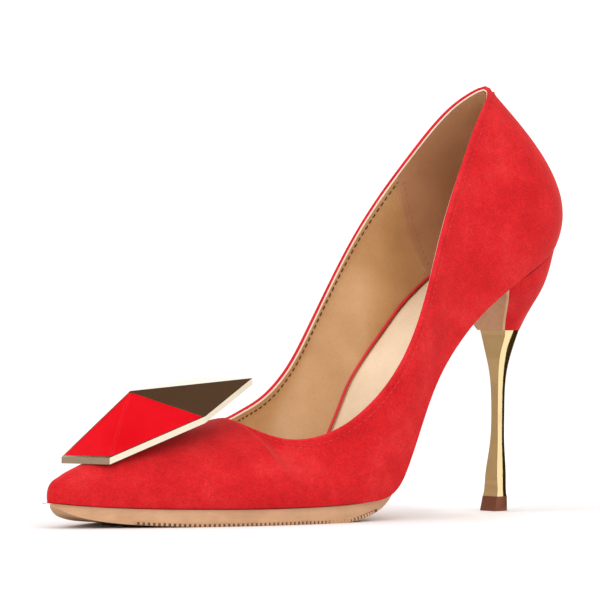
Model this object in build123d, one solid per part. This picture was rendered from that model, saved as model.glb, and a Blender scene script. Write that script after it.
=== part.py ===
from build123d import *
import os
from math import cos, radians, sin

# A left-foot pointed pump with a faceted plate on the vamp and a slim metal stiletto heel.
# Lengths are in millimetres. x is the station from the toe tip towards the heel, y is positive on
# the medial side, z is up from the ground. The stations are centred when the solids are written.

# ---------------------------------------------------------------- driving dimensions
MIDDLE = (115.5, -0.1)   # station and y of the middle of the shoe, which become x = 0 and y = 0
WALL, WALL_TOP = 2.6, 1.7    # all layers of the upper, at the feather edge and at the topline
GLUE = 0.06              # gap between neighbouring layers
UPPER_SHARE = 0.42       # share of the wall that is suede
LINING_SHARE = 0.70      # share of the wall at which the lining starts
FILLER, BOARD, CUSHION, SOCK = 1.5, 1.9, 1.6, 0.8   # shank and filler layer, insole board, foam, sock lining
BINDING = 1.3            # width of the red binding round the sock
SOLE_INSET, WAIST_INSET = 1.2, 4.4   # outsole edge inside the feather edge, and how much more at the waist
WAIST_START, WAIST_RUN = 112, 24   # station where the outsole starts to narrow, and how long that takes
STEM_TOP, TOP_PIECE = 67.0, 5.4   # heights of the stem's top and of the top piece
PIN_RADIUS = 0.9
SHANK_WIDTH = 11.0
CLEAR = 0.08             # play round fasteners

# Feather edge in plan, (x, y) from the toe tip to the back of the heel.
TOE, BACK = (0.5, 0.0), (229.6, 0.0)
LATERAL_PLAN = [(3, -4), (8, -7.4), (18, -12.3), (32, -19), (47, -25.2), (62, -30.1), (78, -33.3),
                (94, -34.6), (110, -34.2), (125, -32.6), (137, -30.8), (149, -28.4), (160, -26),
                (172, -24.4), (184, -23.6), (196, -22.8), (206, -21.2), (215, -18.2), (222, -13.6)]
MEDIAL_PLAN = [(3, 4.2), (8, 8), (18, 14), (32, 22), (47, 29), (62, 33.4), (75, 34.8), (88, 33),
               (102, 28.4), (116, 22.8), (128, 18.6), (140, 16), (150, 15.2), (160, 16), (172, 18.2),
               (184, 20.6), (196, 22), (206, 21), (215, 18.2), (222, 13.6)]
# Height of the feather edge along the shoe, (x, z).
SEAT_LINE = [(-1, 9.2), (12, 7.7), (26, 6.8), (50, 6.1), (77, 5.8), (100, 6.1), (118, 6.9), (127, 8.4),
             (133, 12.2), (138, 19.5), (143, 29), (149, 40.5), (158, 53.5), (167, 63), (176, 71),
             (186, 78), (196, 84), (208, 90), (219, 94.8), (231, 99)]
# Bottom of the outsole, (x, z), ending on the heel breast.
TREAD_LINE = [(-1, 8.6), (2, 7.4), (5, 5.6), (12, 3.2), (20, 1.8), (35, 0.6), (48, 0)]
ARCH_LINE = [(107, 0), (118, 1.9), (127, 4.4), (133, 8.4), (139, 17.6), (144, 27), (150, 38.4), (158, 50.6),
             (167, 60.4), (176, 68.4), (186, 75.4), (197, 82)]
# Top of the vamp on the centre plane, and the topline, (x, y, z), from the throat to the back.
RIDGE = [(2.4, 0, 16), (7, 0, 18.8), (12.2, 0, 20.9), (20, 0, 23.5), (32, 0, 26.6), (45, 0, 29.6),
         (60, 0, 33), (77, 0, 37)]
THROAT, COLLAR = (77, 0, 37), (201, 0, 157.4)
TOPLINE_LATERAL = [(79.2, -8, 34.8), (83.5, -14.8, 31.6), (89.5, -20.3, 29.3), (97.5, -25, 29.5),
                   (107, -29.2, 33), (118, -31.6, 40.3), (130, -32.2, 51.5), (140, -31.7, 65.8),
                   (149, -29.4, 83), (158, -25.6, 101), (168, -21, 117.5), (178, -16.6, 132),
                   (188, -12.2, 145.3), (196.5, -7.5, 153.6)]
TOPLINE_MEDIAL = [(79.2, 8, 36), (83.5, 14.8, 35.3), (89.5, 20.3, 35), (97.5, 25, 35.6), (107, 29.2, 37.9),
                  (118, 31.2, 42.3), (130, 31.4, 52.3), (140, 31, 66.8), (149, 28.9, 83.8),
                  (158, 25.4, 101.4), (168, 21, 118), (178, 16.6, 132.3), (188, 12.2, 145.3),
                  (196.5, 7.5, 153.6)]
# Sections of the wall: station on the feather edge, station on the ridge or topline, lean outwards at
# the feather edge and lean inwards at the top in degrees from upright.
TIP_OF_TOE = [(0.5, 2.4, 8, 55), (1.4, 3.2, 9, 75), (3, 4.2, 11, 88), (6, 6, 13, 90)]
TOE_SECTIONS = [(6, 6, 13, 90), (10, 10, 16, 90), (16, 16, 20, 90), (24, 24, 23, 90), (35, 35, 26, 90)]
VAMP_SECTIONS = [(35, 35, 26, 90), (50, 49, 28, 90), (64, 63, 28, 90), (77, 77, 27, 90)]
SIDE_SECTIONS = [(77, 77, 27, 90), (83, 79, 26, 64), (90, 83.5, 24, 44), (99, 90.5, 21, 32), (110, 100, 17, 24),
                 (122, 112, 13, 18), (134, 124, 9, 13), (146, 137, 6, 9), (158, 150, 5, 8)]
HEEL_SECTIONS = [(158, 150, 5, 8), (172, 161, 8, 9), (187, 171.5, 13, 12), (201, 181, 19, 15),
                 (214, 190.5, 30, 18), (223, 197, 39, 23), (229.6, 201, 42, 27)]
CUTS = (6, 35, 77, 158)     # feather stations where one lining or stiffener ends and the next begins
# Level sections of the heel: height, breast station, back station, half width at the breast.
COVER_SECTIONS = [(STEM_TOP, 204.1, 214.9, 7.1), (72, 201.6, 216.9, 10.6), (78, 197.9, 219.4, 16.2),
                  (84, 194.4, 222.2, 20.6), (90, 192.8, 225.6, 20.9), (100, 191.5, 229.6, 21.2)]
STEM_SECTIONS = [(TOP_PIECE, 202.8, 210, 4.1), (14, 203.5, 209.8, 3.3), (22, 204.4, 209.5, 2.5),
                 (30, 205, 209.4, 1.95), (40, 205.1, 209.6, 1.9), (47, 205, 209.9, 2.2), (53.5, 204.6, 210.9, 3),
                 (60, 204.3, 212.6, 4.8), (STEM_TOP, 204.1, 214.9, 7.1)]
TIP_SECTIONS = [(0, 201.6, 210.2, 4.2), (TOP_PIECE, 202.8, 210, 4.1)]
# Faceted plate: plan of its rim corners, the plane they lie in (height at the toe, rise along x, rise
# along y) and the raised apex. The enamel covers the two near facets in front.
RIM = [(10.6, 6.6), (19.6, -9.4), (54.6, -18.4), (79.6, -13.4), (69.6, 4.6), (38, 14)]
RIM_PLANE = (17.8, 0.466, 0.268)
APEX = (34.8, -1, 47.2)
ENAMEL_FACETS = (0, 1)
POSTS = (43, 57)         # stations of the two posts that hold the plate


# ---------------------------------------------------------------- curves
def station(edge, x, low, high):
    """Parameter between low and high at which a curve passes station x."""
    rising = (edge @ high).X > (edge @ low).X
    for _ in range(40):
        middle = (low + high) / 2
        if ((edge @ middle).X < x) == rising:
            low = middle
        else:
            high = middle
    return (low + high) / 2


class Loop:
    """A closed curve round the shoe, from the front along the lateral side and back along the medial side."""

    def __init__(self, front, lateral, back, medial):
        self.edge = Spline([front, *lateral, back, *reversed(medial)], periodic=True)
        self.turn = self.edge.param_at_point(Vector(*back))

    def at(self, side, x):
        """Point at station x of one side and the direction there, pointing to the heel."""
        ends = (0, self.turn) if side < 0 else (self.turn, 1)
        u = station(self.edge, x, *ends)
        return self.edge @ u, (self.edge % u) * -side


FEATHER = Loop(TOE, LATERAL_PLAN, BACK, MEDIAL_PLAN)
TOPLINE = Loop(THROAT, TOPLINE_LATERAL, COLLAR, TOPLINE_MEDIAL)
SEAT = Spline(SEAT_LINE)
VAMP = Spline(RIDGE)


def seat_at(x):
    """Height of the feather edge at station x and its slope there."""
    u = station(SEAT, x, 0, 1)
    return (SEAT @ u).Y, (SEAT % u).Y / (SEAT % u).X


def feather_at(side, x):
    """Point on the feather edge, and the direction along the shoe there."""
    point, along = FEATHER.at(side, x)
    height, slope = seat_at(x)
    return Vector(point.X, point.Y, height), Vector(along.X, along.Y, along.X * slope).normalized()


def top_at(side, x):
    """Point on the ridge or the topline, and the direction along the shoe there."""
    if x > COLLAR[0] - 0.01:
        return Vector(*COLLAR), Vector(0, -side, 0)
    if x <= THROAT[0]:
        u = station(VAMP, x, 0, 1) if x < THROAT[0] else 1
        return VAMP @ u, VAMP % u
    return TOPLINE.at(side, x)


def wall_samples(side, section):
    """Outer curve of the wall from the feather edge to the top: (share of the way, point, inward normal)."""
    x_low, x_top, lean, fold = section
    low, along_low = feather_at(side, x_low)
    top, along_top = top_at(side, x_top)
    up = Vector(0, 0, 1)
    out = Vector(-along_low.Y, along_low.X, 0).normalized() * side
    if x_low <= TOE[0]:
        low = Vector(*TOE, seat_at(TOE[0])[0])
        out, along_low, along_top = Vector(-1, 0, 0), Vector(0, side, 0), Vector(0, side, 0)
    if x_low >= BACK[0]:
        low = Vector(*BACK, seat_at(BACK[0])[0])
        out, along_low = Vector(1, 0, 0), Vector(0, -side, 0)
    if fold < 90:
        up = Vector(top.X - low.X, 0, top.Z - low.Z).normalized()
    if x_low in CUTS:
        out = Vector(0, side, 0)
        along_low = along_top = Vector(up.Z, 0, -up.X)
    inwards = out * -sin(radians(fold)) + up * cos(radians(fold))
    if fold == 90:
        inwards = Vector(0, -side, 0)
    start = out * sin(radians(lean)) + up * cos(radians(lean))
    reach = (top - low).length * 0.37
    a, b, c, d = low, low + start * reach, top - inwards * reach, top
    samples = []
    for t in (0, 0.14, 0.32, 0.5, 0.68, 0.86, 1):
        s = 1 - t
        point = a * s**3 + b * (3 * s * s * t) + c * (3 * s * t * t) + d * t**3
        direction = (b - a) * (s * s) + (c - b) * (2 * s * t) + (d - c) * (t * t)
        normal = direction.cross(along_low * s + along_top * t).normalized() * -side
        samples.append((t, point, normal))
    return samples


def wall_layer(side, sections, outer, inner):
    """One layer of the wall on one side, from depth share outer to inner."""
    wires = []
    for section in sections:
        skin, back = [], []
        for t, point, normal in wall_samples(side, section):
            thick = WALL + (WALL_TOP - WALL) * t
            skin.append(point + normal * thick * outer)
            back.append(point + normal * thick * inner)
        wires.append(Wire([Spline(skin), Line(skin[-1], back[-1]), Spline(back[::-1]), Line(back[0], skin[0])]))
    return Solid.make_loft(wires)


# Side view of the cut between the side pieces and the heel pieces.
CUT_LOW, CUT_HIGH = (172.7, -5), (128.5, 170)


def rear_loft(side, layer, front_part):
    """The side or the heel part of a layer, cut from one loft that runs from the throat to the heel."""
    far = 60 if front_part else 260
    corners = [Vector(far, -60, -5), Vector(CUT_LOW[0], -60, CUT_LOW[1]), Vector(CUT_HIGH[0], -60, CUT_HIGH[1]),
               Vector(far, -60, 170)]
    keep = Solid.extrude(Face(Wire.make_polygon(corners)), Vector(0, 120, 0))
    return only(wall_layer(side, SIDE_SECTIONS + HEEL_SECTIONS[1:], *layer) & keep)


def both_sides(sections, layer):
    """The lateral and the medial half of a layer, which meet on the centre line."""
    return [wall_layer(side, sections, *layer) for side in (-1, 1)]


# ---------------------------------------------------------------- upper, stiffeners and linings
MIDDLE_LAYER = (UPPER_SHARE + GLUE / WALL_TOP, LINING_SHARE - GLUE / WALL_TOP)
LINING_LAYER = (LINING_SHARE, 1)


def upper():
    """Front and rear of both sides of the suede, which is one piece closed at the back."""
    halves = TIP_OF_TOE + TOE_SECTIONS[1:] + VAMP_SECTIONS[1:], SIDE_SECTIONS + HEEL_SECTIONS[1:]
    return [wall_layer(side, sections, 0, UPPER_SHARE) for sections in halves for side in (-1, 1)]


# ---------------------------------------------------------------- slabs that follow the foot bed
def raised(distance, low=-1, high=231):
    """Points of the foot-bed line, moved off it by a distance along its normal."""
    points = []
    for x, _ in SEAT_LINE:
        if low <= x <= high:
            z, slope = seat_at(min(max(x, -0.9), 230.9))
            normal = Vector(-slope, 0, 1).normalized()
            points.append(Vector(x, 0, z) + normal * distance)
    return points


def side_view(points_low, points_high):
    """A solid 100 mm wide whose side view lies between two lines of points."""
    ends = Line(points_low[-1], points_high[-1]), Line(points_high[0], points_low[0])
    face = Face(Wire([Spline(points_low), ends[0], Spline(points_high[::-1]), ends[1]]))
    return Solid.extrude(face, Vector(0, 100, 0)).moved(Location((0, -50, 0)))


def plan(inset, waist=0.0):
    """A tall solid whose plan is the feather edge moved inwards, and further inwards behind the tread."""
    points = []
    for side, stations in ((-1, LATERAL_PLAN), (1, MEDIAL_PLAN[::-1])):
        points.append(Vector(TOE[0] + inset, 0, 0) if side < 0 else Vector(BACK[0] - inset - waist, 0, 0))
        for x, _ in stations:
            point, along = FEATHER.at(side, x)
            t = min(max((x - WAIST_START) / WAIST_RUN, 0), 1)
            depth = inset + waist * t * t * (3 - 2 * t)
            points.append(Vector(point.X, point.Y, 0) + Vector(along.Y, -along.X, 0).normalized() * side * depth)
    return Solid.extrude(Face(Wire([Spline(points, periodic=True)])), Vector(0, 0, 130)).moved(Location((0, 0, -5)))


def block(x0, x1, y0, y1, z0, z1):
    return Solid.make_box(x1 - x0, y1 - y0, z1 - z0).moved(Location((x0, y0, z0)))


def slab(low, high, inset, start, end):
    """A sheet on the foot bed between two offsets, inside the plan and between two stations."""
    sheet = side_view(raised(low), raised(high))
    return only(sheet & plan(inset) & block(start, end, -50, 50, -5, 130))


def only(shape):
    """The largest solid of a result."""
    return max(shape.solids(), key=lambda solid: solid.volume)


def peg(x, y, low, high, radius, head=0.0, head_high=0.0):
    """A round fastener on the foot bed along its normal, with an optional wider head at the top."""
    z, slope = seat_at(x)
    place = Plane(origin=(x, y, z), z_dir=(-slope, 0, 1))
    rod = Solid.make_cylinder(radius, high - low, place.offset(low))
    if head:
        rod = rod.fuse(Solid.make_cylinder(head, head_high, place.offset(high - head_high)))
    return rod


BOARD_INSET = WALL + 0.2
BOARD_LOW = FILLER + 0.2
CUSHION_LOW = BOARD_LOW + BOARD + 0.1
SOCK_LOW = CUSHION_LOW + CUSHION + 0.1
SHANK_SPAN = (119, 211)
SHANK_OFFSET = -2.5
FILLER_PLAN = [(28, 1), (45, -10), (65, -18), (90, -21), (108, -17), (112, -4), (104, 10), (86, 18), (64, 18), (44, 12)]
SCREW_STATION = 215
NAILS = [(200, -10), (200, 8), (217.5, -10), (217.5, 10)]


def steel_shank():
    strip = side_view(raised(0.1), raised(0.1 + FILLER))
    sides = SHANK_OFFSET - SHANK_WIDTH / 2, SHANK_OFFSET + SHANK_WIDTH / 2
    return only(strip & block(*SHANK_SPAN, *sides, -5, 130))


def bottom_filler():
    face = Face(Wire([Spline(FILLER_PLAN, periodic=True)]))
    return only(side_view(raised(0.1), raised(0.1 + FILLER)) & Solid.extrude(face, Vector(0, 0, 30)))


def heel_screw(play=0.0):
    return peg(SCREW_STATION, 0, -18 - play, FILLER, 1.9 + play, 3.2, 1.2)


def heel_nails(play=0.0):
    return [peg(x, y, -9 - play, FILLER, 0.8 + play, 1.6, 0.7) for x, y in NAILS]


def insole_board():
    return slab(BOARD_LOW, BOARD_LOW + BOARD, BOARD_INSET, 0, 240)


def insole_cushion():
    return slab(CUSHION_LOW, CUSHION_LOW + CUSHION, BOARD_INSET + 0.4, 17, 222)


def sock_liner():
    return slab(SOCK_LOW, SOCK_LOW + SOCK, BOARD_INSET + 0.7 + BINDING, 16, 240)


def sock_binding():
    ring = slab(SOCK_LOW, SOCK_LOW + SOCK + 0.15, BOARD_INSET + 0.6, 14.5, 240)
    return only(ring - plan(BOARD_INSET + 0.65 + BINDING) - block(0, 15.9, -50, 50, -5, 130))


# ---------------------------------------------------------------- outsole and heel
FLAP = 1.2


def xz(points):
    return [Vector(x, 0, z) for x, z in points]


def breast_line(shift):
    """The breast of the heel in side view, from the seat down to the top of the stem."""
    return [Vector(x + shift, 0, z) for z, x, _, _ in reversed(COVER_SECTIONS) if z < 89]


def flap():
    """The sole leather that covers the heel breast."""
    front, back = breast_line(-FLAP - 0.15), breast_line(-0.15)
    widths = [(half, z) for z, _, _, half in COVER_SECTIONS if z < 89]
    outline = [Vector(150, y, z) for y, z in widths]
    mirror = [Vector(150, -y, z) for y, z in reversed(widths)]
    face = Face(Wire([Spline(outline), Line(outline[-1], mirror[0]), Spline(mirror), Line(mirror[-1], outline[0])]))
    sheet = side_view(front, back) & Solid.extrude(face, Vector(80, 0, 0))
    return only(sheet & under_seat_space() & plan(SOLE_INSET + 1))


def outsole():
    flat = Line(xz([TREAD_LINE[-1]])[0], xz([ARCH_LINE[0]])[0])
    front = Spline(xz(TREAD_LINE))
    arch = Spline(xz(ARCH_LINE))
    top = Spline(raised(-0.1, high=197)[::-1])
    edges = [front, flat, arch, Line(arch @ 1, top @ 0), top, Line(top @ 1, front @ 0)]
    body = Solid.extrude(Face(Wire(edges)), Vector(0, 100, 0)).moved(Location((0, -50, 0)))
    body = only(body & plan(SOLE_INSET, WAIST_INSET))
    return only(body - heel_block(-0.2, 0.15 + FLAP + 0.1))


def heel_section(z, breast, back, half, shrink=0.0, front=0.0):
    """A level D: straight across the breast, round at the back."""
    breast, back, half = breast - front, back - shrink, half - shrink
    depth = back - breast
    wing = [Vector(breast, half, z), Vector(breast + 0.55 * depth, half * 1.12, z),
            Vector(back, half * 0.72, z), Vector(back, 0, z)]
    other = [Vector(point.X, -point.Y, z) for point in reversed(wing)]
    return Wire([Bezier(*wing), Bezier(*other), Line(other[-1], wing[0])])


def heel_block(shrink=0.0, front=0.0):
    return Solid.make_loft([heel_section(*row, shrink, front) for row in COVER_SECTIONS])


def under_seat_space():
    return side_view(raised(-40), raised(-0.1))


COVER = 0.9


def heel_core():
    core = heel_block(COVER) & under_seat_space()
    for tool in (heel_screw(CLEAR), *heel_nails(CLEAR), heel_pin(CLEAR)):
        core -= tool
    return only(core)


def heel_cover():
    cover = heel_block() & under_seat_space()
    return only(cover - heel_block(COVER - GLUE, 6))


PIN_STATION = 207.3


def heel_pin(play=0.0):
    low, high = 2 - play, 84 + play
    return Solid.make_cylinder(PIN_RADIUS + play / 2, high - low, Plane(origin=(PIN_STATION, 0, low)))


def heel_stem():
    stem = Solid.make_loft([heel_section(*row) for row in STEM_SECTIONS])
    return only(stem - heel_pin(CLEAR))


def top_piece():
    piece = Solid.make_loft([heel_section(*row) for row in TIP_SECTIONS])
    return only(piece - heel_pin(CLEAR))


# ---------------------------------------------------------------- faceted plate
RIM_THICK, ENAMEL_THICK, FRAME = 2.3, 0.5, 0.35


def rim_corner(i, drop=0.0):
    x, y = RIM[i % len(RIM)]
    return Vector(x, y, RIM_PLANE[0] + RIM_PLANE[1] * x + RIM_PLANE[2] * y - drop)


def flat_face(*corners):
    return Face(Wire.make_polygon(corners))


def enamel(play=0.0):
    """Flat panels let into the facets, inside a narrow metal frame."""
    panels = []
    for i in ENAMEL_FACETS:
        corners = [rim_corner(i), rim_corner(i + 1), Vector(*APEX)]
        middle = (corners[0] + corners[1] + corners[2]) * (1 / 3)
        outward = (corners[1] - corners[0]).cross(corners[2] - corners[0]).normalized()
        near = min(Edge.make_line(corners[k - 1], corners[k]).distance_to(middle) for k in range(3))
        share = 1 - (FRAME - play) / near
        inner = [middle + (corner - middle) * share for corner in corners]
        face = flat_face(*(corner - outward * (ENAMEL_THICK + play) for corner in inner))
        panels.append(Solid.extrude(face, outward * (ENAMEL_THICK + play)))
    return panels


def plate_body():
    apex, count = Vector(*APEX), len(RIM)
    faces = [flat_face(*(rim_corner(i, RIM_THICK) for i in range(count)))]
    for i in range(count):
        faces.append(flat_face(rim_corner(i), rim_corner(i + 1), apex))
        low, low_next = rim_corner(i, RIM_THICK), rim_corner(i + 1, RIM_THICK)
        faces.append(flat_face(low, low_next, rim_corner(i + 1), rim_corner(i)))
    return Solid(Shell(faces))


def ornament_plate():
    body = plate_body()
    for panel in enamel(0.02):
        body -= panel
    return only(body)


def post_plane(x):
    u = station(VAMP, x, 0, 1)
    point, along = VAMP @ u, VAMP % u
    return Plane(origin=point, z_dir=(-along.Z, 0, along.X))


def above_plate():
    """Everything above the underside of the plate."""
    base = flat_face(*(rim_corner(i, RIM_THICK) for i in range(len(RIM))))
    return Solid.extrude(base, Vector(0, 0, 60))


def posts(play=0.0):
    rods = [Solid.make_cylinder(1.2 + play, 30, post_plane(x).offset(-3.4)) for x in POSTS]
    return [only(rod - above_plate()) for rod in rods]


def spacers():
    sleeves = []
    for x in POSTS:
        sleeve = Solid.make_cylinder(3, 30, post_plane(x).offset(0.1))
        sleeves.append(only(sleeve - Solid.make_cylinder(1.2 + CLEAR, 30, post_plane(x)) - above_plate()))
    return sleeves


def washers():
    ring = Solid.make_cylinder(3.2, 0.8) - Solid.make_cylinder(1.2 + CLEAR, 0.8)
    return [only(ring).moved(post_plane(x).offset(-3).location) for x in POSTS]


def bored(layers):
    """Layers of the vamp with the holes for the posts."""
    return [only(layer - Compound(posts(CLEAR))) for layer in layers]


def write(name, *solids):
    group = [solid.moved(Location((-MIDDLE[0], -MIDDLE[1], 0))) for solid in solids]
    export_step(group[0] if len(group) == 1 else Compound(group), f"parts/{name}.step")


def main():
    os.makedirs("parts", exist_ok=True)
    write("upper", *bored(upper()))
    write("toe_puff", *both_sides(TOE_SECTIONS, MIDDLE_LAYER))
    write("vamp_backing", *bored(both_sides(VAMP_SECTIONS, MIDDLE_LAYER)))
    write("side_reinforcement_lateral", rear_loft(-1, MIDDLE_LAYER, True))
    write("side_reinforcement_medial", rear_loft(1, MIDDLE_LAYER, True))
    write("heel_counter", *(rear_loft(side, MIDDLE_LAYER, False) for side in (-1, 1)))
    write("toe_lining", *both_sides(TOE_SECTIONS, LINING_LAYER))
    write("vamp_lining", *bored(both_sides(VAMP_SECTIONS, LINING_LAYER)))
    write("quarter_lining_lateral", rear_loft(-1, LINING_LAYER, True))
    write("quarter_lining_medial", rear_loft(1, LINING_LAYER, True))
    write("heel_grip", *(rear_loft(side, LINING_LAYER, False) for side in (-1, 1)))
    write("insole_board", insole_board())
    write("steel_shank", steel_shank())
    write("bottom_filler", bottom_filler())
    write("insole_cushion", insole_cushion())
    write("sock_liner", sock_liner())
    write("sock_binding", sock_binding())
    write("outsole", outsole())
    write("heel_breast_flap", flap())
    write("heel_core", heel_core())
    write("heel_cover", heel_cover())
    write("heel_stem", heel_stem())
    write("top_piece", top_piece())
    write("heel_pin", heel_pin())
    write("heel_screw", heel_screw())
    write("heel_nails", *heel_nails())
    write("ornament_plate", ornament_plate())
    write("ornament_enamel", *enamel())
    write("ornament_posts", *posts())
    write("ornament_spacers", *spacers())
    write("ornament_washers", *washers())


main()
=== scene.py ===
from math import cos, pi, radians, sin

import bmesh
import bpy
import numpy as np
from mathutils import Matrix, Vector


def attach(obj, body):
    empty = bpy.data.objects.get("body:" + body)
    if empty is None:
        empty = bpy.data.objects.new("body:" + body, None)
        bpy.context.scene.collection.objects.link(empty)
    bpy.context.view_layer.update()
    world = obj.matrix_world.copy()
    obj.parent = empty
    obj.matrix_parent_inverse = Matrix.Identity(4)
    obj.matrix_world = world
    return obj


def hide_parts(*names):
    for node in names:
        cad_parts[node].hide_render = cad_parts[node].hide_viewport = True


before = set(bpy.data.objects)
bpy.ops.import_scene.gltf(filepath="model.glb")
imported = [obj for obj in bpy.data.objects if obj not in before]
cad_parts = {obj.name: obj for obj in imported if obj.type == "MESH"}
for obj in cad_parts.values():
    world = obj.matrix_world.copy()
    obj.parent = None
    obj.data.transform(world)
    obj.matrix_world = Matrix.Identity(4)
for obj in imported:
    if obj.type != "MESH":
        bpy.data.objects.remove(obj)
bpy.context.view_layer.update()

MM = 0.001

# ------------------------------------------------------------------ the shoe's curves, in millimetres
# x is the station from the toe tip, y is positive on the medial side, z is up. MIDDLE is the row's origin.
MIDDLE = np.array([115.5, -0.1, 0])
TOE, BACK = (0.5, 0.0), (229.6, 0.0)
LATERAL_PLAN = [(3, -4), (8, -7.4), (18, -12.3), (32, -19), (47, -25.2), (62, -30.1), (78, -33.3),
                (94, -34.6), (110, -34.2), (125, -32.6), (137, -30.8), (149, -28.4), (160, -26),
                (172, -24.4), (184, -23.6), (196, -22.8), (206, -21.2), (215, -18.2), (222, -13.6)]
MEDIAL_PLAN = [(3, 4.2), (8, 8), (18, 14), (32, 22), (47, 29), (62, 33.4), (75, 34.8), (88, 33),
               (102, 28.4), (116, 22.8), (128, 18.6), (140, 16), (150, 15.2), (160, 16), (172, 18.2),
               (184, 20.6), (196, 22), (206, 21), (215, 18.2), (222, 13.6)]
SEAT_LINE = [(-1, 9.2), (12, 7.7), (26, 6.8), (50, 6.1), (77, 5.8), (100, 6.1), (118, 6.9), (127, 8.4),
             (133, 12.2), (138, 19.5), (143, 29), (149, 40.5), (158, 53.5), (167, 63), (176, 71),
             (186, 78), (196, 84), (208, 90), (219, 94.8), (231, 99)]
RIDGE = [(2.4, 0, 16), (7, 0, 18.8), (12.2, 0, 20.9), (20, 0, 23.5), (32, 0, 26.6), (45, 0, 29.6),
         (60, 0, 33), (77, 0, 37)]
THROAT, COLLAR = (77, 0, 37), (201, 0, 157.4)
TOPLINE_LATERAL = [(79.2, -8, 34.8), (83.5, -14.8, 31.6), (89.5, -20.3, 29.3), (97.5, -25, 29.5),
                   (107, -29.2, 33), (118, -31.6, 40.3), (130, -32.2, 51.5), (140, -31.7, 65.8),
                   (149, -29.4, 83), (158, -25.6, 101), (168, -21, 117.5), (178, -16.6, 132),
                   (188, -12.2, 145.3), (196.5, -7.5, 153.6)]
TOPLINE_MEDIAL = [(79.2, 8, 36), (83.5, 14.8, 35.3), (89.5, 20.3, 35), (97.5, 25, 35.6), (107, 29.2, 37.9),
                  (118, 31.2, 42.3), (130, 31.4, 52.3), (140, 31, 66.8), (149, 28.9, 83.8),
                  (158, 25.4, 101.4), (168, 21, 118), (178, 16.6, 132.3), (188, 12.2, 145.3),
                  (196.5, 7.5, 153.6)]
# Feather station, top station, lean out at the feather, lean in at the top, from the toe to the throat
# and from the throat to the heel.
VAMP_SECTIONS = [(0.5, 2.4, 8, 55), (1.4, 3.2, 9, 75), (3, 4.2, 11, 88), (6, 6, 13, 90), (10, 10, 16, 90),
                 (16, 16, 20, 90), (24, 24, 23, 90), (35, 35, 26, 90), (50, 49, 28, 90), (64, 63, 28, 90),
                 (77, 77, 27, 90)]
SIDE_SECTIONS = [(77, 77, 27, 90), (83, 79, 26, 64), (90, 83.5, 24, 44), (99, 90.5, 21, 32), (110, 100, 17, 24),
                 (122, 112, 13, 18), (134, 124, 9, 13), (146, 137, 6, 9), (158, 150, 5, 8), (172, 161, 8, 9),
                 (187, 171.5, 13, 12), (201, 181, 19, 15), (214, 190.5, 30, 18), (223, 197, 39, 23),
                 (229.6, 201, 42, 27)]


def unit(v):
    return np.asarray(v, float) / np.linalg.norm(v)


class Smooth:
    """A cubic spline through points, from 0 to 1 by chord length; a closed one comes back to its start."""

    def __init__(self, points, closed=False):
        p = np.array(points, float)
        if closed:
            p = np.vstack([p, p[:1]])
        self.p, n = p, len(p)
        self.t = np.concatenate([[0], np.cumsum(np.linalg.norm(np.diff(p, axis=0), axis=1))])
        self.t /= self.t[-1]
        h, slope = np.diff(self.t), np.diff(p, axis=0) / np.diff(self.t)[:, None]
        a, b = np.zeros((n, n)), np.zeros((n, p.shape[1]))
        for i in range(1, n - 1):
            a[i, i - 1:i + 2] = h[i - 1], 2 * (h[i - 1] + h[i]), h[i]
            b[i] = 6 * (slope[i] - slope[i - 1])
        if closed:
            a[0, [0, 1, n - 2, n - 1]] = 2 * h[0], h[0], h[-1], 2 * h[-1]
            b[0] = 6 * (slope[0] - slope[-1])
            a[-1, 0], a[-1, -1] = 1, -1
        else:
            a[0, 0] = a[-1, -1] = 1
        self.m = np.linalg.solve(a, b)

    def at(self, u):
        i = int(np.clip(np.searchsorted(self.t, u) - 1, 0, len(self.t) - 2))
        h, back, ahead = self.t[i + 1] - self.t[i], u - self.t[i], self.t[i + 1] - u
        m0, m1, p0, p1 = self.m[i], self.m[i + 1], self.p[i], self.p[i + 1]
        bend = (m0 * ahead**3 + m1 * back**3) / (6 * h)
        return bend + (p0 / h - m0 * h / 6) * ahead + (p1 / h - m1 * h / 6) * back

    def along(self, u):
        return unit(self.at(min(u + 1e-3, 1)) - self.at(max(u - 1e-3, 0)))

    def station(self, x, low=0.0, high=1.0):
        rising = self.at(high)[0] > self.at(low)[0]
        for _ in range(40):
            middle = (low + high) / 2
            if (self.at(middle)[0] < x) == rising:
                low = middle
            else:
                high = middle
        return (low + high) / 2


class Loop:
    """A closed curve round the shoe, from the front along the lateral side and back along the medial."""

    def __init__(self, front, lateral, back, medial):
        self.curve = Smooth([front, *lateral, back, *reversed(medial)], closed=True)
        self.turn = float(self.curve.t[len(lateral) + 1])

    def at(self, side, x):
        ends = (0, self.turn) if side < 0 else (self.turn, 1)
        u = self.curve.station(x, *ends)
        return self.curve.at(u), self.curve.along(u) * -side


FEATHER = Loop(TOE, LATERAL_PLAN, BACK, MEDIAL_PLAN)
TOPLINE = Loop(THROAT, TOPLINE_LATERAL, COLLAR, TOPLINE_MEDIAL)
SEAT = Smooth(SEAT_LINE)
VAMP = Smooth(RIDGE)


def seat(x):
    """Height of the feather edge at station x, and its slope there."""
    u = SEAT.station(x)
    dx, dz = SEAT.along(u)
    return SEAT.at(u)[1], dz / dx


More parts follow.
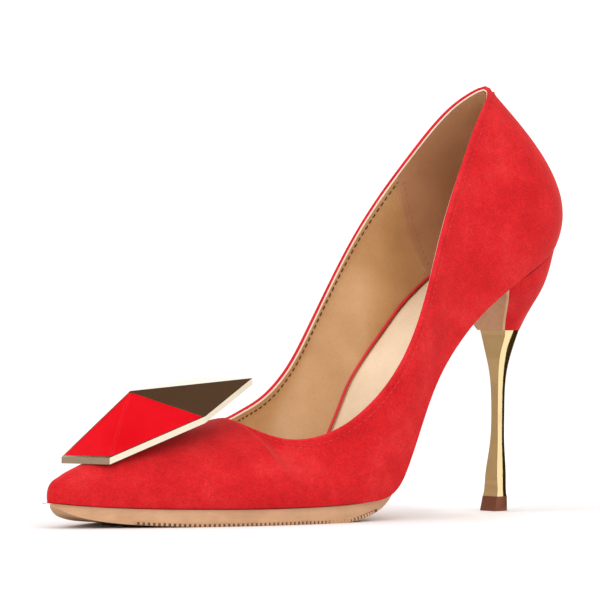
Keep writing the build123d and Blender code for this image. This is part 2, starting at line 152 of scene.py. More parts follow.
def wall_section(side, x_low, x_top, lean, fold):
    """Control points of the outer curve of the wall, from the feather edge up to the top."""
    height, slope = seat(x_low)
    if x_low <= TOE[0] + 0.01 or x_low >= BACK[0] - 0.01:
        end = TOE if x_low < 100 else BACK
        low = np.array([*end, height])
        out = np.array([-1.0 if x_low < 100 else 1.0, 0, 0])
    else:
        point, along = FEATHER.at(side, x_low)
        low = np.array([*point, height])
        out = unit([-along[1] * side, along[0] * side, 0])
    if x_top <= THROAT[0]:
        top = VAMP.at(VAMP.station(x_top)) if x_top < THROAT[0] else np.array(THROAT, float)
    elif x_top >= COLLAR[0] - 0.01:
        top = np.array(COLLAR, float)
    else:
        top = TOPLINE.at(side, x_top)[0]
    up = np.array([0, 0, 1.0]) if x_top <= THROAT[0] else unit([top[0] - low[0], 0, top[2] - low[2]])
    inwards = unit(out * -sin(radians(fold)) + up * cos(radians(fold)))
    if fold > 89.5:
        inwards = np.array([0, -side, 0.0])
    start = unit(out * sin(radians(lean)) + up * cos(radians(lean)))
    reach = np.linalg.norm(top - low) * 0.37
    return low, low + start * reach, top - inwards * reach, top


def bezier(a, b, c, d, t):
    return a * (1 - t)**3 + b * 3 * (1 - t)**2 * t + c * 3 * (1 - t) * t * t + d * t**3


def wall_grid(side, sections, count, shares):
    """Outer surface of one side: an array of points, along the shoe and up the wall."""
    table = Smooth(sections)
    rows = []
    for i in range(count + 1):
        x_low, x_top, lean, fold = table.at(i / count)
        a, b, c, d = wall_section(side, x_low, x_top, lean, min(fold, 90))
        rows.append([bezier(a, b, c, d, t) for t in shares])
    return np.array(rows)


VAMP_STEPS, SIDE_STEPS = 56, 110
SHARES = np.array([0, 0.03] + [0.03 + 0.94 * i / 26 for i in range(1, 27)] + [1.0])


THROAT_SKIP = 5          # the first columns behind the throat are left out, where they crowd together


def whole_wall():
    """The outer surface as one ring: lateral from toe to back, then medial from back to toe."""
    halves = []
    for side in (-1, 1):
        vamp = wall_grid(side, VAMP_SECTIONS, VAMP_STEPS, SHARES)
        rear = wall_grid(side, SIDE_SECTIONS, SIDE_STEPS, SHARES)
        halves.append(np.concatenate([vamp, rear[THROAT_SKIP:]]))
    return np.concatenate([halves[0], halves[1][::-1][1:-1]])


RING = whole_wall()
COLUMNS = len(RING)
THROAT_COLUMN = VAMP_STEPS
BACK_COLUMN = VAMP_STEPS + SIDE_STEPS + 1 - THROAT_SKIP


def mirrored(column):
    """The column of the other side at the same station."""
    return (COLUMNS - column) % COLUMNS


THROAT_TURN = 26         # columns over which the topline's normal turns from the ridge to the wall


def ring_normals():
    """Outward normals of the ring, level across the centre plane where the two sides meet."""
    ahead, behind = np.roll(RING, -1, axis=0), np.roll(RING, 1, axis=0)
    along = ahead - behind
    up = np.gradient(RING, axis=1)
    normals = np.cross(along, up)
    normals /= np.linalg.norm(normals, axis=2)[:, :, None] + 1e-12
    for column in (0, BACK_COLUMN):
        normals[column, :, 1] = 0
    for column in range(COLUMNS):
        if column <= THROAT_COLUMN or column >= COLUMNS - THROAT_COLUMN:
            x = RING[column, -1, 0]
            tangent = VAMP.along(VAMP.station(x))
            normals[column, -1] = (-tangent[2], 0, tangent[0])
    for column in range(1, THROAT_TURN):
        share = column / THROAT_TURN
        for sign in (-1, 1):
            start = sign * THROAT_COLUMN
            level, turned = normals[start, -1], normals[start + sign * THROAT_TURN, -1]
            normals[start + sign * column, -1] = level * (1 - share) + turned * share
    normals /= np.linalg.norm(normals, axis=2)[:, :, None] + 1e-12
    return normals


NORMALS = ring_normals()


def offset_wall(depth_low, depth_top):
    """The ring moved inwards, by a depth at the feather edge and a depth at the top."""
    depth = depth_low + (depth_top - depth_low) * SHARES
    return RING - NORMALS * depth[None, :, None]


def behind_tread(x):
    """0 along the tread and 1 at the waist, where the sole is narrower than the upper."""
    t = np.clip((x - WAIST_START) / WAIST_RUN, 0, 1)
    return t * t * (3 - 2 * t)


# ------------------------------------------------------------------ mesh helpers
def to_row(point):
    return Vector((np.asarray(point, float) - MIDDLE) * MM)


def mesh_object(name, points, faces, material, weld=0.02, level=0):
    """A smooth mesh piece from points in millimetres."""
    mesh = bpy.data.meshes.new(name)
    mesh.from_pydata([to_row(p) for p in points], [], faces)
    work = bmesh.new()
    work.from_mesh(mesh)
    bmesh.ops.remove_doubles(work, verts=work.verts, dist=weld * MM)
    bmesh.ops.recalc_face_normals(work, faces=work.faces)
    work.to_mesh(mesh)
    work.free()
    for polygon in mesh.polygons:
        polygon.use_smooth = True
    piece = bpy.data.objects.new(name, mesh)
    bpy.context.scene.collection.objects.link(piece)
    mesh.materials.append(material)
    if level:
        modifier = piece.modifiers.new("smooth", "SUBSURF")
        modifier.levels = modifier.render_levels = level
    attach(piece, "root")
    return piece


def grid_faces(rows, columns, closed_rows=False, closed_columns=False):
    """Quads of a grid whose points are listed row by row."""
    faces = []
    for i in range(rows if closed_rows else rows - 1):
        for j in range(columns if closed_columns else columns - 1):
            k, m = (i + 1) % rows, (j + 1) % columns
            faces.append((i * columns + j, i * columns + m, k * columns + m, k * columns + j))
    return faces


def tube(name, path, frames, profile, material, closed=True):
    """A bead along a path: profile(i) gives offsets along each point's two frame directions."""
    points, count = [], 0
    for i, (centre, (first, second)) in enumerate(zip(path, frames)):
        ring = [centre + first * a + second * b for a, b in profile(i)]
        count = len(ring)
        points.extend(ring)
    return mesh_object(name, points, grid_faces(len(path), count, closed, True), material, weld=0.001)


STITCH_RISE, STITCH_SIZE = (-0.75, 0.15, 0.4, 0.15, -0.75), (0.45, 0.95, 1, 0.95, 0.45)


def stitches(name, path, normals, length, gap, radius, material, closed=True, lift=0.0):
    """A row of thread stitches along a path on a surface."""
    lengths = np.concatenate([[0], np.cumsum(np.linalg.norm(np.diff(path, axis=0), axis=1))])
    total, pitch = lengths[-1], length + gap
    count = int(total / pitch)
    points, faces = [], []
    for k in range(count):
        spots = [(k + 0.5) * total / count + length * share for share in (-0.5, -0.3, 0, 0.3, 0.5)]
        centres = np.array([[np.interp(s, lengths, path[:, a]) for a in range(3)] for s in spots])
        out = unit([np.interp(spots[2], lengths, normals[:, a]) for a in range(3)])
        run = unit(centres[-1] - centres[0] + 1e-9)
        across = unit(np.cross(out, run))
        for centre, rise, size in zip(centres, STITCH_RISE, STITCH_SIZE):
            middle = centre + out * (lift + rise * radius)
            for a in range(8):
                angle = a * pi / 4
                points.append(middle + (out * cos(angle) * 0.75 + across * sin(angle)) * radius * size)
        base = len(points) - 40
        faces.extend(tuple(base + v for v in face) for face in grid_faces(5, 8, False, True))
        faces.append(tuple(base + a for a in range(8)))
        faces.append(tuple(base + 32 + a for a in range(8)))
    return mesh_object(name, points, faces, material, weld=0.0005)


# ------------------------------------------------------------------ materials
class Nodes:
    """A principled material with a few short-hand calls for procedural texture."""

    def __init__(self, name, **values):
        self.material = bpy.data.materials.new(name)
        self.material.use_nodes = True
        self.tree = self.material.node_tree
        self.shader = self.tree.nodes["Principled BSDF"]
        self.place = self.add("ShaderNodeTexCoord").outputs["Object"]
        for key, value in values.items():
            self.shader.inputs[key.replace("_", " ")].default_value = value

    def add(self, kind, **inputs):
        node = self.tree.nodes.new(kind)
        for key, value in inputs.items():
            node.inputs[key.replace("_", " ")].default_value = value
        return node

    def link(self, out, into):
        self.tree.links.new(out, into)

    def stretched(self, x, y, z):
        mapping = self.add("ShaderNodeMapping", Scale=(x, y, z))
        self.link(self.place, mapping.inputs["Vector"])
        return mapping.outputs["Vector"]

    def noise(self, scale, detail=3.0, rough=0.6, place=None):
        node = self.add("ShaderNodeTexNoise", Scale=scale, Detail=detail, Roughness=rough)
        self.link(place or self.place, node.inputs["Vector"])
        return node.outputs["Fac"]

    def cells(self, scale, place=None, feature="F1"):
        node = self.add("ShaderNodeTexVoronoi", Scale=scale)
        node.feature = feature
        self.link(place or self.place, node.inputs["Vector"])
        return node.outputs["Distance"]

    def ramp(self, value, stops):
        node = self.add("ShaderNodeValToRGB")
        ramp = node.color_ramp
        while len(ramp.elements) < len(stops):
            ramp.elements.new(0.5)
        for element, (place, colour) in zip(ramp.elements, stops):
            element.position = place
            element.color = (*colour, 1) if len(colour) == 3 else colour
        self.link(value, node.inputs["Fac"])
        return node.outputs["Color"]

    def mix(self, share, first, second, mode="MIX"):
        node = self.tree.nodes.new("ShaderNodeMix")
        node.data_type, node.blend_type = "RGBA", mode
        if isinstance(share, float):
            node.inputs[0].default_value = share
        else:
            self.link(share, node.inputs[0])
        for socket, value in ((node.inputs[6], first), (node.inputs[7], second)):
            if isinstance(value, tuple):
                socket.default_value = (*value, 1)
            else:
                self.link(value, socket)
        return node.outputs[2]

    def range(self, value, low, high, start=0.3, end=0.7):
        node = self.add("ShaderNodeMapRange")
        node.inputs["From Min"].default_value = start
        node.inputs["From Max"].default_value = end
        node.inputs["To Min"].default_value = low
        node.inputs["To Max"].default_value = high
        self.link(value, node.inputs["Value"])
        return node.outputs["Result"]

    def bump(self, layers):
        """Bumps, one over another: (height, strength, distance in mm)."""
        normal = None
        for height, strength, distance in layers:
            node = self.add("ShaderNodeBump", Strength=strength, Distance=distance * MM)
            self.link(height, node.inputs["Height"])
            if normal:
                self.link(normal, node.inputs["Normal"])
            normal = node.outputs["Normal"]
        self.link(normal, self.shader.inputs["Normal"])


def suede(name, deep, middle, light):
    m = Nodes(name, Roughness=0.9, Sheen_Weight=0.18, Sheen_Roughness=0.4, Specular_IOR_Level=0.1)
    m.shader.inputs["Sheen Tint"].default_value = (1, 0.35, 0.28, 1)
    brushed = m.noise(70, 4, 0.62)
    nap = m.noise(1500, 2, 0.7)
    clumps = m.noise(520, 3, 0.65)
    base = m.ramp(brushed, [(0.3, deep), (0.52, middle), (0.74, light)])
    fine = m.ramp(nap, [(0.25, (0.62, 0.62, 0.62)), (0.75, (1.0, 1.0, 1.0))])
    tufts = m.ramp(clumps, [(0.3, (0.84, 0.84, 0.84)), (0.7, (1.0, 1.0, 1.0))])
    colour = m.mix(1.0, m.mix(1.0, base, fine, "MULTIPLY"), tufts, "MULTIPLY")
    m.link(colour, m.shader.inputs["Base Color"])
    m.link(m.range(clumps, 0.8, 0.97), m.shader.inputs["Roughness"])
    m.bump([(clumps, 0.35, 0.25), (nap, 0.5, 0.16)])
    return m.material


def leather(name, deep, middle, light, rough=(0.38, 0.55), grain=900):
    m = Nodes(name, Specular_IOR_Level=0.4)
    pores, cloud = m.cells(grain), m.noise(45, 4, 0.55)
    creases = m.noise(230, 5, 0.6, m.stretched(1, 1, 0.35))
    base = m.ramp(cloud, [(0.3, deep), (0.5, middle), (0.72, light)])
    speck = m.ramp(pores, [(0.0, (0.86, 0.84, 0.82)), (0.35, (1.0, 1.0, 1.0))])
    m.link(m.mix(1.0, base, speck, "MULTIPLY"), m.shader.inputs["Base Color"])
    m.link(m.range(creases, *rough), m.shader.inputs["Roughness"])
    m.bump([(creases, 0.15, 0.15), (pores, 0.22, 0.06)])
    return m.material


def sole_material():
    m = Nodes("sole_beige", Specular_IOR_Level=0.45, Coat_Weight=0.15, Coat_Roughness=0.35)
    cloud = m.noise(60, 4, 0.55)
    streaks = m.noise(420, 4, 0.6, m.stretched(0.25, 1, 1.6))
    base = m.ramp(cloud, [(0.3, (0.50, 0.27, 0.14)), (0.5, (0.56, 0.32, 0.17)), (0.72, (0.62, 0.37, 0.21))])
    worn = m.ramp(streaks, [(0.3, (0.9, 0.88, 0.86)), (0.6, (1.0, 1.0, 1.0))])
    m.link(m.mix(1.0, base, worn, "MULTIPLY"), m.shader.inputs["Base Color"])
    m.link(m.range(streaks, 0.34, 0.5), m.shader.inputs["Roughness"])
    m.bump([(streaks, 0.12, 0.08)])
    return m.material


def metal(name, colour, rough=(0.05, 0.11), scratches=0.05):
    m = Nodes(name, Metallic=1.0)
    haze, lines = m.noise(120, 4, 0.6), m.noise(900, 3, 0.6, m.stretched(0.2, 1, 1))
    tarnish = m.ramp(haze, [(0.3, tuple(0.93 * c for c in colour)), (0.7, colour)])
    m.link(tarnish, m.shader.inputs["Base Color"])
    m.link(m.range(haze, *rough), m.shader.inputs["Roughness"])
    m.bump([(lines, scratches, 0.01)])
    return m.material


def enamel_material():
    m = Nodes("enamel_red", Coat_Weight=0.5, Coat_Roughness=0.05, Specular_IOR_Level=0.2)
    cloud = m.noise(90, 3, 0.5)
    tint = m.ramp(cloud, [(0.3, (0.56, 0.001, 0.006)), (0.7, (0.62, 0.001, 0.008))])
    m.link(tint, m.shader.inputs["Base Color"])
    m.link(m.range(cloud, 0.1, 0.16), m.shader.inputs["Roughness"])
    m.bump([(cloud, 0.04, 0.1)])
    return m.material


def plain(name, deep, light, rough=(0.5, 0.7), grain=600):
    m = Nodes(name)
    cloud, fine = m.noise(80, 4, 0.6), m.noise(grain, 3, 0.6)
    m.link(m.ramp(cloud, [(0.3, deep), (0.7, light)]), m.shader.inputs["Base Color"])
    m.link(m.range(fine, *rough), m.shader.inputs["Roughness"])
    m.bump([(fine, 0.2, 0.08)])
    return m.material


SUEDE = suede("suede_red", (0.60, 0.010, 0.014), (0.71, 0.016, 0.020), (0.80, 0.032, 0.034))
# Lighter, paler copy of the red suede for the rolled topline edge and the back seam bead: painted highlight where
# these raised edges catch the light.
SUEDE_EDGE_HIGHLIGHT = suede("suede_edge_painted_highlight", (0.62, 0.014, 0.02), (0.76, 0.022, 0.03), (0.85, 0.04, 0.05))
LINING = leather("lining_tan", (0.46, 0.24, 0.095), (0.52, 0.285, 0.12), (0.58, 0.33, 0.15))
GRIP = leather("lining_grip", (0.40, 0.19, 0.085), (0.46, 0.23, 0.11), (0.52, 0.27, 0.135),
               (0.75, 0.95), 1500)
SOCK = leather("sock_pale", (0.70, 0.52, 0.34), (0.76, 0.58, 0.40), (0.81, 0.63, 0.45), (0.34, 0.48))
BINDING = leather("binding_red", (0.55, 0.01, 0.02), (0.66, 0.016, 0.026), (0.74, 0.03, 0.04))
CREAM = leather("edge_cream", (0.74, 0.58, 0.42), (0.82, 0.68, 0.52), (0.88, 0.76, 0.62), (0.5, 0.7))
SOLE = sole_material()
# Near-black brown for the band behind the tread ribs: painted shade in the recess between the ribs, not a brown
# part of the sole.
GROOVE_SHADE = plain("groove_painted_shade", (0.10, 0.05, 0.025), (0.16, 0.08, 0.04), (0.6, 0.8))
GOLD = metal("gold_polished", (0.90, 0.68, 0.36))
PALE_GOLD = metal("gold_pale", (0.80, 0.70, 0.55))
STEEL = metal("steel_bright", (0.62, 0.62, 0.63), (0.2, 0.35), 0.2)
ENAMEL = enamel_material()
TIP = plain("tip_brown", (0.14, 0.034, 0.007), (0.20, 0.052, 0.012), (0.4, 0.55))
PLASTIC = plain("heel_plastic", (0.75, 0.73, 0.69), (0.82, 0.80, 0.77), (0.35, 0.5))
BOARD = plain("board_fibre", (0.42, 0.29, 0.18), (0.52, 0.38, 0.25), (0.8, 0.95))
FOAM = plain("foam_cream", (0.80, 0.74, 0.6), (0.88, 0.83, 0.7), (0.85, 0.98), 1800)
THREAD = plain("thread_red", (0.42, 0.006, 0.012), (0.58, 0.014, 0.022), (0.6, 0.8), 2500)
DARK_THREAD = plain("thread_brown", (0.05, 0.018, 0.008), (0.10, 0.04, 0.018), (0.6, 0.8), 2500)
TAN_THREAD = plain("thread_tan", (0.34, 0.16, 0.07), (0.44, 0.22, 0.10), (0.6, 0.8), 2500)


# ------------------------------------------------------------------ upper


WAIST_START, WAIST_RUN = 112, 24
MARGIN = 6.5             # margin of the upper turned in under the foot bed behind the tread


def make_upper():
    rows = []
    for column in range(COLUMNS):
        normal, edge = NORMALS[column, 0], RING[column, 0]
        level = unit([normal[0], normal[1], 0])
        inner = edge - level * (1.8 + MARGIN * behind_tread(edge[0]))
        inner[2] = seat(min(max(inner[0], 0.5), 229))[0] - 0.06
        tuck = edge - normal * 1.5 - np.array([0, 0, 0.15])
        rows.append([inner, tuck, *RING[column]])
    points = [p for row in rows for p in row]
    faces = grid_faces(COLUMNS, len(rows[0]), closed_rows=True)
    piece = mesh_object("upper_suede", points, faces, SUEDE, level=1)
    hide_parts("upper")


def topline_columns():
    """Columns of the ring whose top lies on the topline, from the throat round the heel and back."""
    return list(range(THROAT_COLUMN, COLUMNS - THROAT_COLUMN + 1))


def topline_frames():
    """Points of the topline with the outward normal and the direction that leads off the edge."""
    columns = topline_columns()
    tops = np.array([RING[c, -1] for c in columns])
    along = np.roll(tops, -1, axis=0) - np.roll(tops, 1, axis=0)
    along[0], along[-1] = (0, -1, 0), (0, -1, 0)
    frames = []
    for i, column in enumerate(columns):
        run = unit(along[i])
        out = NORMALS[column, -1] - run * NORMALS[column, -1].dot(run)
        frames.append((unit(out), unit(np.cross(out, run))))
    return tops[:-1], frames[:-1]


def bead(radius, depth, drop, start, end, count=12):
    """Offsets of an arc of a circle about a point inside the wall, as (outwards, off the edge)."""
    angles = [radians(start + (end - start) * k / count) for k in range(count + 1)]
    return [(radius * cos(a) - depth, radius * sin(a) - drop) for a in angles]


def make_topline():
    path, frames = topline_frames()
    edge = tube("topline_edge", path, frames, lambda i: bead(0.88, 0.86, 0.1, 0, 345, 15), SUEDE_EDGE_HIGHLIGHT)
    cream = tube("lining_raw_edge", path, frames, lambda i: bead(0.36, 1.72, 0.05, 0, 330, 9), CREAM)


def below_top(column, distance, depth):
    """A point of the wall at a distance below its top and at a depth inside, and the normal there."""
    surface = RING[column][::-1]
    lengths = np.concatenate([[0], np.cumsum(np.linalg.norm(np.diff(surface, axis=0), axis=1))])
    point = np.array([np.interp(distance, lengths, surface[:, a]) for a in range(3)])
    normal = unit([np.interp(distance, lengths, NORMALS[column][::-1][:, a]) for a in range(3)])
    return point - normal * depth, normal


def topline_row(distance, depth, skip=0):
    columns = topline_columns()
    columns = columns[skip:len(columns) - skip]
    pairs = [below_top(c, distance, depth) for c in columns]
    return np.array([p for p, _ in pairs]), np.array([n for _, n in pairs])


def make_topline_stitches():
    path, normals = topline_row(2.3, 0, 2)
    row = stitches("topline_stitches", path, normals, 1.75, 0.75, 0.26, THREAD, lift=0.02)
    path, normals = topline_row(2.2, 2.02, 2)
    row = stitches("lining_stitches", path, -normals, 1.9, 0.7, 0.27, DARK_THREAD, lift=0.05)


def make_back_seam():
    path = RING[BACK_COLUMN][1:-1]
    frames = [(n, np.array([0, 1.0, 0])) for n in NORMALS[BACK_COLUMN][1:-1]]
    half_round = [(0.34 * cos(a) - 0.12, 0.55 * sin(a)) for a in np.linspace(0, 2 * pi, 12, endpoint=False)]
    seam = tube("back_seam", path, frames, lambda i: half_round, SUEDE_EDGE_HIGHLIGHT, closed=False)


# ------------------------------------------------------------------ linings
LINING_DEPTH = (2.55, 1.95)
LINING_START = 9.0
GRIP_STEP = 0.4          # the rear lining stands this far proud of the front one


def make_front_lining():
    kept = [c for c in range(COLUMNS) if RING[c, 0, 0] > LINING_START]
    grid = offset_wall(*LINING_DEPTH)[kept]
    faces = grid_faces(len(kept), len(SHARES))
    piece = mesh_object("lining_front", grid.reshape(-1, 3), faces, LINING, level=1)
    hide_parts("toe_lining", "vamp_lining", "quarter_lining_lateral", "quarter_lining_medial")


def column_at(x, row):
    """Fractional column on the lateral side whose point in a row has that station."""
    stations = RING[THROAT_COLUMN:BACK_COLUMN + 1, row, 0]
    return THROAT_COLUMN + float(np.interp(x, stations, np.arange(len(stations))))


SEAM_TOP, SEAM_LOW = column_at(172, -1), column_at(192, 0)


def seam_column(share):
    return SEAM_TOP + (SEAM_LOW - SEAM_TOP) * (1 - share)**1.5


def sample(grid, column, row):
    """A grid's value between two columns."""
    low = int(np.floor(column)) % len(grid)
    part = column - np.floor(column)
    return grid[low, row] * (1 - part) + grid[(low + 1) % len(grid), row] * part


def make_rear_lining():
    front = offset_wall(*LINING_DEPTH)
    steps = [0, 0, 0.25, 0.7] + list(np.linspace(1.4, 10, 8))
    points, count = [], 0
    for row, share in enumerate(SHARES):
        start = seam_column(share)
        end = 2 * BACK_COLUMN - start
        middle = list(np.linspace(start + 12, end - 12, 60))
        inner = [start + s for s in steps] + middle + [end - s for s in steps[::-1]]
        count = len(inner)
        for k, column in enumerate(inner):
            edge = min(k, count - 1 - k)
            rise = (-0.15, 0.22, 0.36)[edge] if edge < 3 else GRIP_STEP
            points.append(sample(front, column, row) - sample(NORMALS, column, row) * rise)
    faces = grid_faces(len(SHARES), count)
    piece = mesh_object("lining_heel_grip", points, faces, GRIP, weld=0.0001, level=1)
    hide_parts("heel_grip")
    for side, name in ((1, "grip_stitches_lateral"), (-1, "grip_stitches_medial")):
        path, normals = [], []
        for row in range(3, len(SHARES) - 2):
            column = seam_column(SHARES[row]) + 1.6
            column = column if side > 0 else 2 * BACK_COLUMN - column
            normal = sample(NORMALS, column, row)
            path.append(sample(front, column, row) - normal * (GRIP_STEP + 0.02))
            normals.append(-normal)
        row = stitches(name, np.array(path), np.array(normals), 1.5, 0.8, 0.22, TAN_THREAD)


# ------------------------------------------------------------------ sock
SOCK_HEIGHT, SOCK_THICK = 5.4, 1.6
SOCK_START = 14.0


def bed_height(point):
    """How far a point lies over the foot bed, square to it."""
    x = min(max(point[0], 0.5), 229.5)
    z, slope = seat(x)
    return (point[2] - z) / np.hypot(1, slope)


def sock_outline():
    """Where the top of the sock meets the lining, one point for each column."""
    inner = offset_wall(*LINING_DEPTH)
    outline = []
    for column in range(COLUMNS):
        heights = np.array([bed_height(p) for p in inner[column][:14]])
        point = np.array([np.interp(SOCK_HEIGHT, heights, inner[column][:14, a]) for a in range(3)])
        outline.append(point)
    return np.array(outline)


def make_sock():
    outline = sock_outline()
    columns = [c for c in range(1, BACK_COLUMN) if outline[c, 0] > SOCK_START]
    across, points = 18, []
    for layer in range(2):
        for c in columns:
            lateral, medial = outline[c], outline[mirrored(c)]
            width = np.linalg.norm(medial - lateral)
            heel = np.clip((lateral[0] - 165) / 45, 0, 1)
            for k in range(across + 1):
                share = (0.9 + (width - 1.8) * k / across) / width
                point = lateral + (medial - lateral) * share
                slope = seat(min(max(point[0], 0.5), 229))[1]
                up = unit([-slope, 0, 1])
                dish = 4 * share * (1 - share)
                edge = 0.55 if k in (0, across) else 0
                drop = dish * (0.35 + 0.6 * heel) + edge + layer * SOCK_THICK
                points.append(point - up * drop)
    rows, wide = len(columns), across + 1
    faces = grid_faces(rows, wide)
    faces += [tuple(rows * wide + v for v in face[::-1]) for face in grid_faces(rows, wide)]
    border = list(range(wide)) + [i * wide + across for i in range(1, rows)]
    border += [(rows - 1) * wide + k for k in range(across - 1, -1, -1)]
    border += [i * wide for i in range(rows - 2, 0, -1)]
    for a, b in zip(border, border[1:] + border[:1]):
        faces.append((a, b, b + rows * wide, a + rows * wide))
    piece = mesh_object("padded_sock", points, faces, SOCK, weld=0.0001, level=1)
    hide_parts("sock_liner", "insole_cushion")
    ends = [columns[0]] + columns + [BACK_COLUMN] + [mirrored(c) for c in columns[::-1]]
    path = outline[ends[1:]]
    middle = np.array([[p[0], 0, p[2]] for p in path])
    frames = []
    for point, centre in zip(path, middle):
        slope = seat(min(max(point[0], 0.5), 229))[1]
        inward = unit(centre - point) if abs(point[1]) > 1 else np.array([-1.0, 0, 0])
        frames.append((inward, unit([-slope, 0, 1])))
    rim = [(0.35 + 0.6 * cos(a), 0.45 * sin(a) - 0.1) for a in np.linspace(0, 2 * pi, 12, endpoint=False)]
    binding = tube("sock_edge_binding", path, frames, lambda i: rim, BINDING, closed=False)
    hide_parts("sock_binding")


# ------------------------------------------------------------------ tread
SOLE_INSET, WAIST_INSET = 1.2, 4.4
TREAD = Smooth([(-1, 8.6), (2, 7.4), (5, 5.6), (12, 3.2), (20, 1.8), (35, 0.6), (48, 0), (60, 0), (107, 0),
                (118, 1.9), (127, 4.4), (133, 8.4)])
RIB_PITCH, RIB_WIDTH, RIB_SPAN = 1.7, 0.95, (26, 124)


def tread_edge(side, x):
    """A point on the lower edge of the sole, the direction along it and the level outward normal."""
    point, along = FEATHER.at(side, x)
    run = np.array([*unit(along), 0])
    out = unit([-along[1] * side, along[0] * side, 0])
    z = max(0, TREAD.at(TREAD.station(x))[1])
    return np.array([*point, z]) - out * (SOLE_INSET + WAIST_INSET * behind_tread(x)), run, out


def make_tread_groove():
    """A narrow dark band behind the ribs, painted shade for the recess between them."""
    stations = np.linspace(RIB_SPAN[0], RIB_SPAN[1], 80)
    for side, name in ((-1, "tread_groove_shade_lateral"), (1, "tread_groove_shade_medial")):
        points = []
        for x in stations:
            centre, run, out = tread_edge(side, x)
            for height, proud in ((0.03, -0.5), (0.03, 0.1), (1.0, 0.1), (1.05, -0.5)):
                points.append(centre + out * proud + np.array([0, 0, height]))
        groove = mesh_object(name, points, grid_faces(len(stations), 4, False, True), GROOVE_SHADE, weld=0.0001)


# Corners of a rib, (share of its width, height, how proud of the sole), and the faces between them.
RIB_CORNERS = ((-0.5, 0.02, 0.2), (0.5, 0.02, 0.2), (0.5, 0.4, 0.42), (-0.5, 0.4, 0.42), (-0.4, 1.05, 0.38),
               (0.4, 1.05, 0.38), (0.4, 1.3, -0.3), (-0.4, 1.3, -0.3), (-0.5, 0.02, -0.6), (0.5, 0.02, -0.6))
RIB_FACES = ((0, 1, 2, 3), (3, 2, 5, 4), (4, 5, 6, 7), (7, 6, 9, 8), (8, 9, 1, 0), (0, 3, 4, 7, 8), (1, 9, 6, 5, 2))


def make_tread_ribs():
    """Short ribs along the lower edge of the sole, on both sides."""
    points, faces = [], []
    for side in (-1, 1):
        for k in range(int((RIB_SPAN[1] - RIB_SPAN[0]) / RIB_PITCH)):
            x = RIB_SPAN[0] + k * RIB_PITCH
            centre, run, out = tread_edge(side, x)
            base = len(points)
            for a, height, proud in RIB_CORNERS:
                points.append(centre + run * a * RIB_WIDTH + out * proud + np.array([0, 0, height]))
            for face in RIB_FACES:
                faces.append(tuple(base + v for v in face))
    piece = mesh_object("tread_ribs", points, faces, SOLE, weld=0.0001)
    for polygon in piece.data.polygons:
        polygon.use_smooth = False


# ------------------------------------------------------------------ plate
PLATE_FRONT, PLATE_NEAR, PLATE_SIDE = (10.6, 6.6, 24.5), (19.6, -9.4, 24.4), (54.6, -18.4, 38.3)
PLATE_APEX = (34.8, -1, 47.2)
# Section of the enamel over the crease: (facet, distance from the crease, height over the facets).
CREASE_PROFILE = ((0, 0.5, 0.0), (0, 0.4, 0.05), (0, 0.1, 0.05), (1, 0.1, 0.05), (1, 0.4, 0.05), (1, 0.5, 0.0))


def make_enamel_crease():
    """The enamel runs over the crease between the two red facets."""
    apex, near = np.array(PLATE_APEX), np.array(PLATE_NEAR)
    run = unit(near - apex)
    length = np.linalg.norm(near - apex)
    outs, sides = [], []
    for corner in (np.array(PLATE_FRONT), np.array(PLATE_SIDE)):
        toward = corner - apex
        sides.append(unit(toward - run * toward.dot(run)))
    for side, flip in zip(sides, (-1, 1)):
        outs.append(unit(np.cross(side, run)) * flip)
    lift = unit(outs[0] + outs[1])
    lift = lift if lift[2] > 0 else -lift
    points = []
    for share in np.linspace(0.03, 0.965, 30):
        centre = apex + run * length * share
        for side, reach, height in CREASE_PROFILE:
            points.append(centre + sides[side] * reach + lift * height)
    piece = mesh_object("enamel_crease", points, grid_faces(30, 6), ENAMEL, weld=0.0001)


# ------------------------------------------------------------------ carried-over solids
NODE_FINISH = {
    "outsole": SOLE, "heel_breast_flap": SOLE, "heel_cover": SUEDE, "heel_core": PLASTIC, "heel_stem": GOLD,
    "top_piece": TIP, "heel_pin": STEEL, "heel_screw": STEEL, "heel_nails": STEEL,
    "ornament_plate": PALE_GOLD, "ornament_enamel": ENAMEL, "ornament_posts": STEEL,
    "ornament_spacers": GOLD, "ornament_washers": STEEL,
    "insole_board": BOARD, "insole_cushion": FOAM, "steel_shank": STEEL, "bottom_filler": BOARD,
    "toe_puff": LINING, "vamp_backing": LINING, "side_reinforcement_lateral": LINING,
    "side_reinforcement_medial": LINING, "heel_counter": LINING,
}
# Width of the rounded edges, in millimetres.
BEVELS = {"ornament_plate": 0.12, "ornament_enamel": 0.08, "heel_stem": 0.18, "top_piece": 0.15,
          "outsole": 0.3}


def finish_nodes():
    for name, material in NODE_FINISH.items():
        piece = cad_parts.get(name)
        if piece is None:
            continue
        piece.data.materials.clear()
        piece.data.materials.append(material)
        if name in BEVELS:
            bevel = piece.modifiers.new("edges", "BEVEL")
            bevel.width = BEVELS[name] * MM
            bevel.segments = 2
            bevel.limit_method = "ANGLE"
            bevel.angle_limit = radians(25)
            bevel.harden_normals = False


# ------------------------------------------------------------------ studio
def make_floor():
    m = Nodes("studio_white", Roughness=0.6, Specular_IOR_Level=0.2)
    pale = m.ramp(m.noise(3, 2), [(0.3, (0.85, 0.85, 0.85)), (0.7, (0.87, 0.87, 0.87))])
    m.link(pale, m.shader.inputs["Base Color"])
    mesh = bpy.data.meshes.new("floor")
    mesh.from_pydata([(-6, -6, 0), (6, -6, 0), (6, 6, 0), (-6, 6, 0)], [], [(0, 1, 2, 3)])
    mesh.materials.append(m.material)
    floor = bpy.data.objects.new("floor", mesh)
    bpy.context.scene.collection.objects.link(floor)


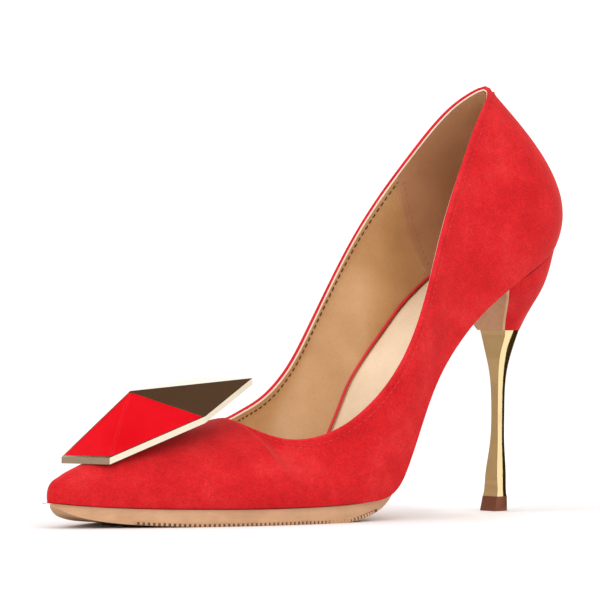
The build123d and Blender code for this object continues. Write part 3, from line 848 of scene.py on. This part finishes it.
def area_light(name, place, target, size, power, glossy=True):
    data = bpy.data.lights.new(name, "AREA")
    data.shape, data.size, data.size_y = "RECTANGLE", size[0], size[1]
    data.energy = power
    lamp = bpy.data.objects.new(name, data)
    lamp.location = place
    lamp.rotation_euler = (Vector(target) - Vector(place)).to_track_quat("-Z", "Y").to_euler()
    lamp.visible_glossy = glossy
    bpy.context.scene.collection.objects.link(lamp)


BAND_STEPS = 12
BAND_PROFILE = ((0.012, 0.0012), (0.6, 0.0012), (0.6, 0.75))   # (distance, height): along the floor, then up


def reflected_only(name, points, faces, colour):
    """A dull piece of the studio that neither the camera nor the soft light sees."""
    m = Nodes(name, Roughness=0.9, Specular_IOR_Level=0.0)
    low = tuple(0.85 * c for c in colour)
    m.link(m.ramp(m.noise(6, 2), [(0.3, low), (0.7, colour)]), m.shader.inputs["Base Color"])
    mesh = bpy.data.meshes.new(name)
    mesh.from_pydata(points, [], faces)
    mesh.materials.append(m.material)
    sheet = bpy.data.objects.new(name, mesh)
    sheet.visible_camera = False
    sheet.visible_shadow = False
    sheet.visible_diffuse = False
    bpy.context.scene.collection.objects.link(sheet)
    return sheet


def studio_card(name, place, target, size, colour):
    """A dull card that only shows as a reflection in the polished pieces."""
    wide, high = size[0] / 2, size[1] / 2
    corners = [(-wide, -high, 0), (wide, -high, 0), (wide, high, 0), (-wide, high, 0)]
    card = reflected_only(name, corners, [(0, 1, 2, 3)], colour)
    card.location = place
    card.rotation_euler = (Vector(target) - Vector(place)).to_track_quat("-Z", "Y").to_euler()


def reflection_band(name, centre, start, end, colour):
    """A dull strip of floor and wall between two directions, which only polished pieces reflect."""
    points = []
    for k in range(BAND_STEPS + 1):
        angle = radians(start + (end - start) * k / BAND_STEPS)
        for reach, height in BAND_PROFILE:
            points.append((centre[0] + reach * cos(angle), centre[1] + reach * sin(angle), height))
    reflected_only(name, points, grid_faces(BAND_STEPS + 1, len(BAND_PROFILE)), colour)


def make_cards():
    plate, heel = (-0.06, 0, 0.045), (0.0755, 0)
    studio_card("card_over_plate", (-0.11, -0.1, 0.95), plate, (1.15, 0.95), (0.11, 0.066, 0.044))
    reflection_band("band_left", heel, 75, 222, (0.38, 0.31, 0.26))
    reflection_band("band_warm", heel, 222, 236, (0.80, 0.42, 0.2))
    reflection_band("band_right", heel, 332, 385, (0.03, 0.02, 0.01))


def make_lights():
    target = (0, 0, 0.05)
    area_light("key_soft", (-0.5, -1.1, 1.1), target, (1.0, 0.8), 6)
    area_light("fill_left", (-1.3, 0.1, 0.6), target, (0.9, 0.9), 2, glossy=False)
    area_light("top_soft", (0.2, 0.2, 1.4), target, (1.2, 1.2), 3, glossy=False)
    world = bpy.data.worlds.new("studio")
    world.use_nodes = True
    background = world.node_tree.nodes["Background"]
    background.inputs["Color"].default_value = (1, 1, 1, 1)
    background.inputs["Strength"].default_value = 1.2
    bpy.context.scene.world = world


CAMERA_TURN, CAMERA_DISTANCE, CAMERA_HEIGHT = 39.0, 1.8, 0.0921
AIM = (-0.0034, 0.0001)
FOCAL_PIXELS, IMAGE_PIXELS, SENSOR, PITCH = 5004, 600, 36, 0.428


def make_camera():
    data = bpy.data.cameras.new("camera")
    data.sensor_width = SENSOR
    data.lens = SENSOR * FOCAL_PIXELS / IMAGE_PIXELS
    data.clip_end = 50
    camera = bpy.data.objects.new("camera", data)
    turn = radians(CAMERA_TURN)
    back = (CAMERA_DISTANCE * sin(turn), CAMERA_DISTANCE * cos(turn))
    camera.location = (AIM[0] - back[0], AIM[1] - back[1], CAMERA_HEIGHT)
    camera.rotation_euler = (radians(90 - PITCH), 0, -turn)
    bpy.context.scene.collection.objects.link(camera)
    bpy.context.scene.camera = camera


make_upper()
make_topline()
make_topline_stitches()
make_back_seam()
make_front_lining()
make_rear_lining()
make_sock()
make_tread_groove()
make_tread_ribs()
make_enamel_crease()
finish_nodes()
make_floor()
make_cards()
make_lights()
make_camera()
bpy.context.scene.view_settings.view_transform = "Standard"
